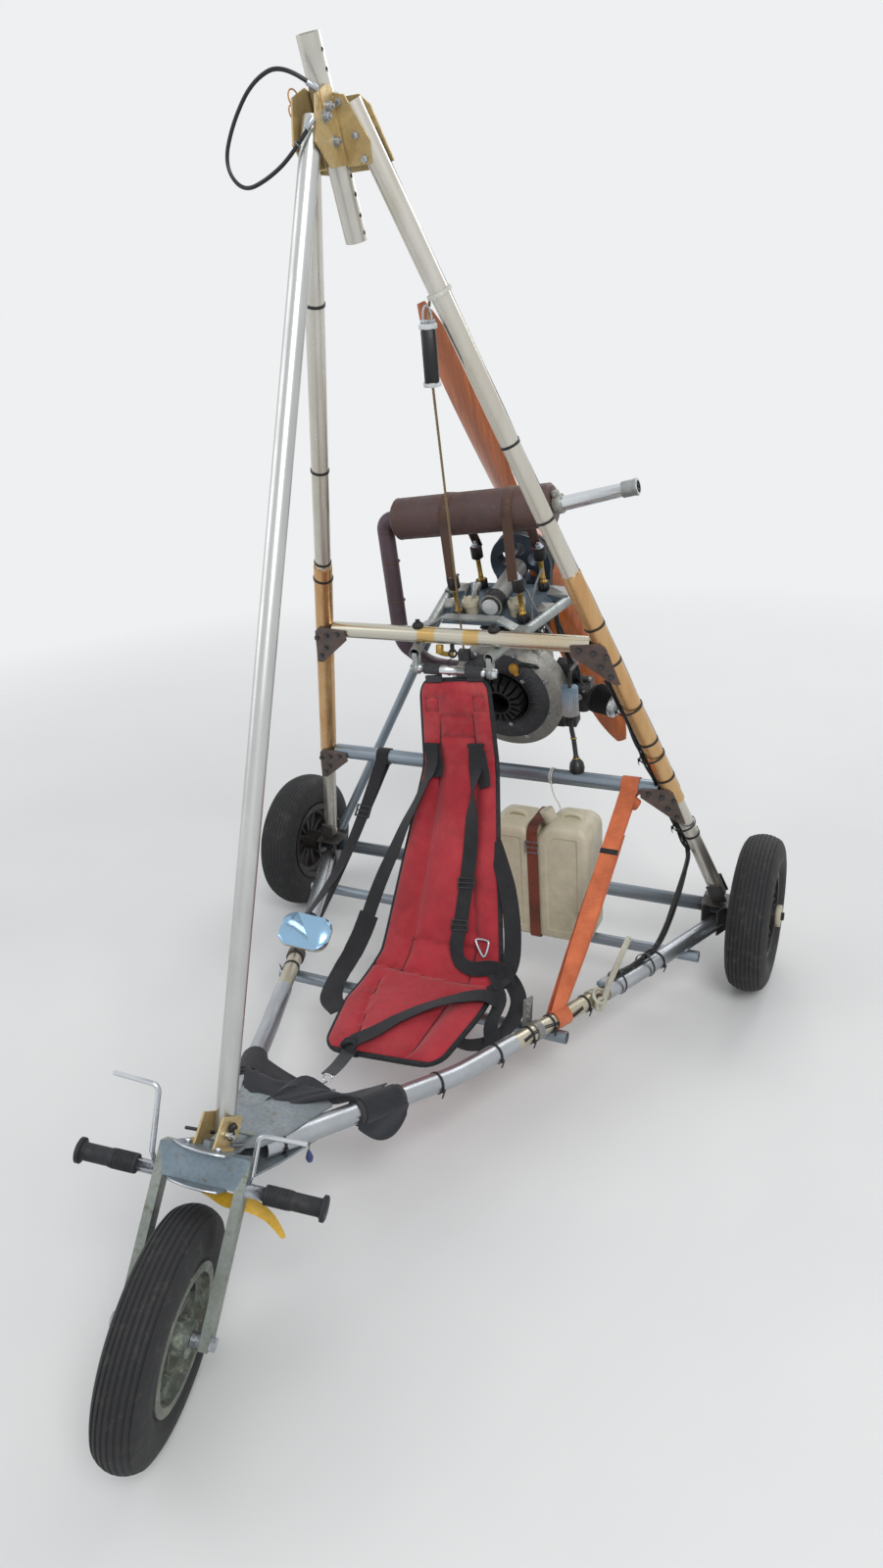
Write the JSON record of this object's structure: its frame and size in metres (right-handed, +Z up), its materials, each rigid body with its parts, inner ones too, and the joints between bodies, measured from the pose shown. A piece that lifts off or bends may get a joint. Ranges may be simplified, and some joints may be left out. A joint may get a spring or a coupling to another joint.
{
  "type": "powered paraglider trike",
  "caption": "Three-wheeled powered paraglider trike with tube pyramid, hammock seat, pusher engine, wooden propeller and steered nose wheel.",
  "frame": {"origin": "on the ground, under the middle of the whole object box", "axes": "+X to the vehicle left, +Y to the rear, +Z up"},
  "size_m": [1.456, 2.1126, 2.0139],
  "materials": {
    "tube_grey": "satin, blue-grey anodised tube with scuffs",
    "tube_bright": "bright worn tube",
    "gold_plate": "gold passivated plate",
    "bronze_tube": "bronze tinted sleeve",
    "zinc_steel": "galvanised steel",
    "dark_steel": "dark steel plate with wear",
    "rust_brown": "heat stained steel with rust",
    "bright_chrome": "polished, dulled by dust",
    "cast_alloy": "rough cast alloy",
    "pulley_alloy": "dark anodised alloy",
    "black_plastic": "matt black with dust",
    "dark_cowl": "dark grey moulded",
    "cream_plastic": "translucent cream, dirty edges",
    "black_rubber": "matt",
    "tyre_rubber": "ribbed tread, dusty",
    "belt_rubber": "ribbed belt",
    "varnished_wood": "laminated, varnished",
    "red_fabric": "faded quilted cloth",
    "black_webbing": "woven",
    "orange_webbing": "woven",
    "mirror_glass": "small round-cornered mirror",
    "filter_black": "pleated cone",
    "grey_lever": "pale coated alloy"
  },
  "bodies": {
    "frame": {"air_filter": "filter_black", "axle": "tube_bright", "axle_brackets": "zinc_steel", "bearers": "zinc_steel", "belt": "belt_rubber", "black_strap": "black_webbing", "braces": "zinc_steel", "carburettor": "cast_alloy", "engine": "cast_alloy", "engine_mounts": "black_rubber", "engine_plate": "zinc_steel", "exhaust_pipe": "rust_brown", "fan_cowl": "dark_cowl", "fan_grille": "black_plastic", "floor_tube_front": "tube_grey", "floor_tube_rear": "tube_grey", "foot_sling": "black_webbing", "fuel_cans": "cream_plastic", "hand_levers": "grey_lever", "hang_tube": "tube_grey", "harness": "black_webbing", "head_cable": "black_webbing", "head_plates": "gold_plate", "lower_cross": "bronze_tube", "lower_gussets": "dark_steel", "mirror": "mirror_glass", "nose_plates": "zinc_steel", "orange_strap": "orange_webbing", "rail_front_left": "tube_bright", "rail_front_right": "tube_bright", "rail_grips": "black_rubber", "rail_joints": "gold_plate", "rail_rear_left": "tube_bright", "rail_rear_right": "tube_bright", "seat_bar": "bright_chrome", "seat_pad": "red_fabric", "silencer": "rust_brown", "sleeves": "bronze_tube", "starter_rope": "black_plastic", "strut": "tube_grey", "strut_bracket": "gold_plate", "tail_pipe": "bright_chrome", "upper_cross": "gold_plate", "upper_gussets": "dark_steel", "upright_left": "tube_grey", "upright_right": "tube_grey"},
    "fork": {"fork": "zinc_steel", "front_axle": "zinc_steel", "peg_grips": "black_rubber"},
    "wheel_front": {"tyre_front": "tyre_rubber", "rim_front": "black_plastic"},
    "wheel_rear_left": {"tyre_rear_left": "tyre_rubber", "rim_rear_left": "black_plastic"},
    "wheel_rear_right": {"tyre_rear_right": "tyre_rubber", "rim_rear_right": "black_plastic"},
    "propeller": {"prop_shaft": "zinc_steel", "big_pulley": "pulley_alloy", "propeller": "varnished_wood"},
    "crank": {"crank_pulley": "pulley_alloy"}
  },
  "joints": [
    {"name": "steering", "type": "hinge", "parent": "frame", "child": "fork", "pos_m": [0, -0.695, 0.381], "axis": [0, 0.6198, 0.7848], "range_deg": [-48.3, 11.7]},
    {"name": "front_wheel", "type": "hinge", "parent": "fork", "child": "wheel_front", "pos_m": [0.00345, -0.8605, 0.1883], "axis": [0.9494, 0.2464, -0.1946], "continuous": true},
    {"name": "rear_wheel_left", "type": "hinge", "parent": "frame", "child": "wheel_rear_left", "pos_m": [0.662, 0.634, 0.197], "axis": [1, 0, 0], "continuous": true},
    {"name": "rear_wheel_right", "type": "hinge", "parent": "frame", "child": "wheel_rear_right", "pos_m": [-0.662, 0.634, 0.197], "axis": [1, 0, 0], "continuous": true},
    {"name": "propeller_spin", "type": "hinge", "parent": "frame", "child": "propeller", "pos_m": [0, 0.82323, 1.01701], "axis": [0, 0.9659, 0.2588], "continuous": true},
    {"name": "crank_spin", "type": "hinge", "parent": "frame", "child": "crank", "pos_m": [0, 0.88794, 0.77553], "axis": [0, 0.9659, 0.2588], "continuous": true}
  ],
  "couplings": [
    {"joint": "crank_spin", "follows": "propeller_spin", "ratio": 2}
  ]
}
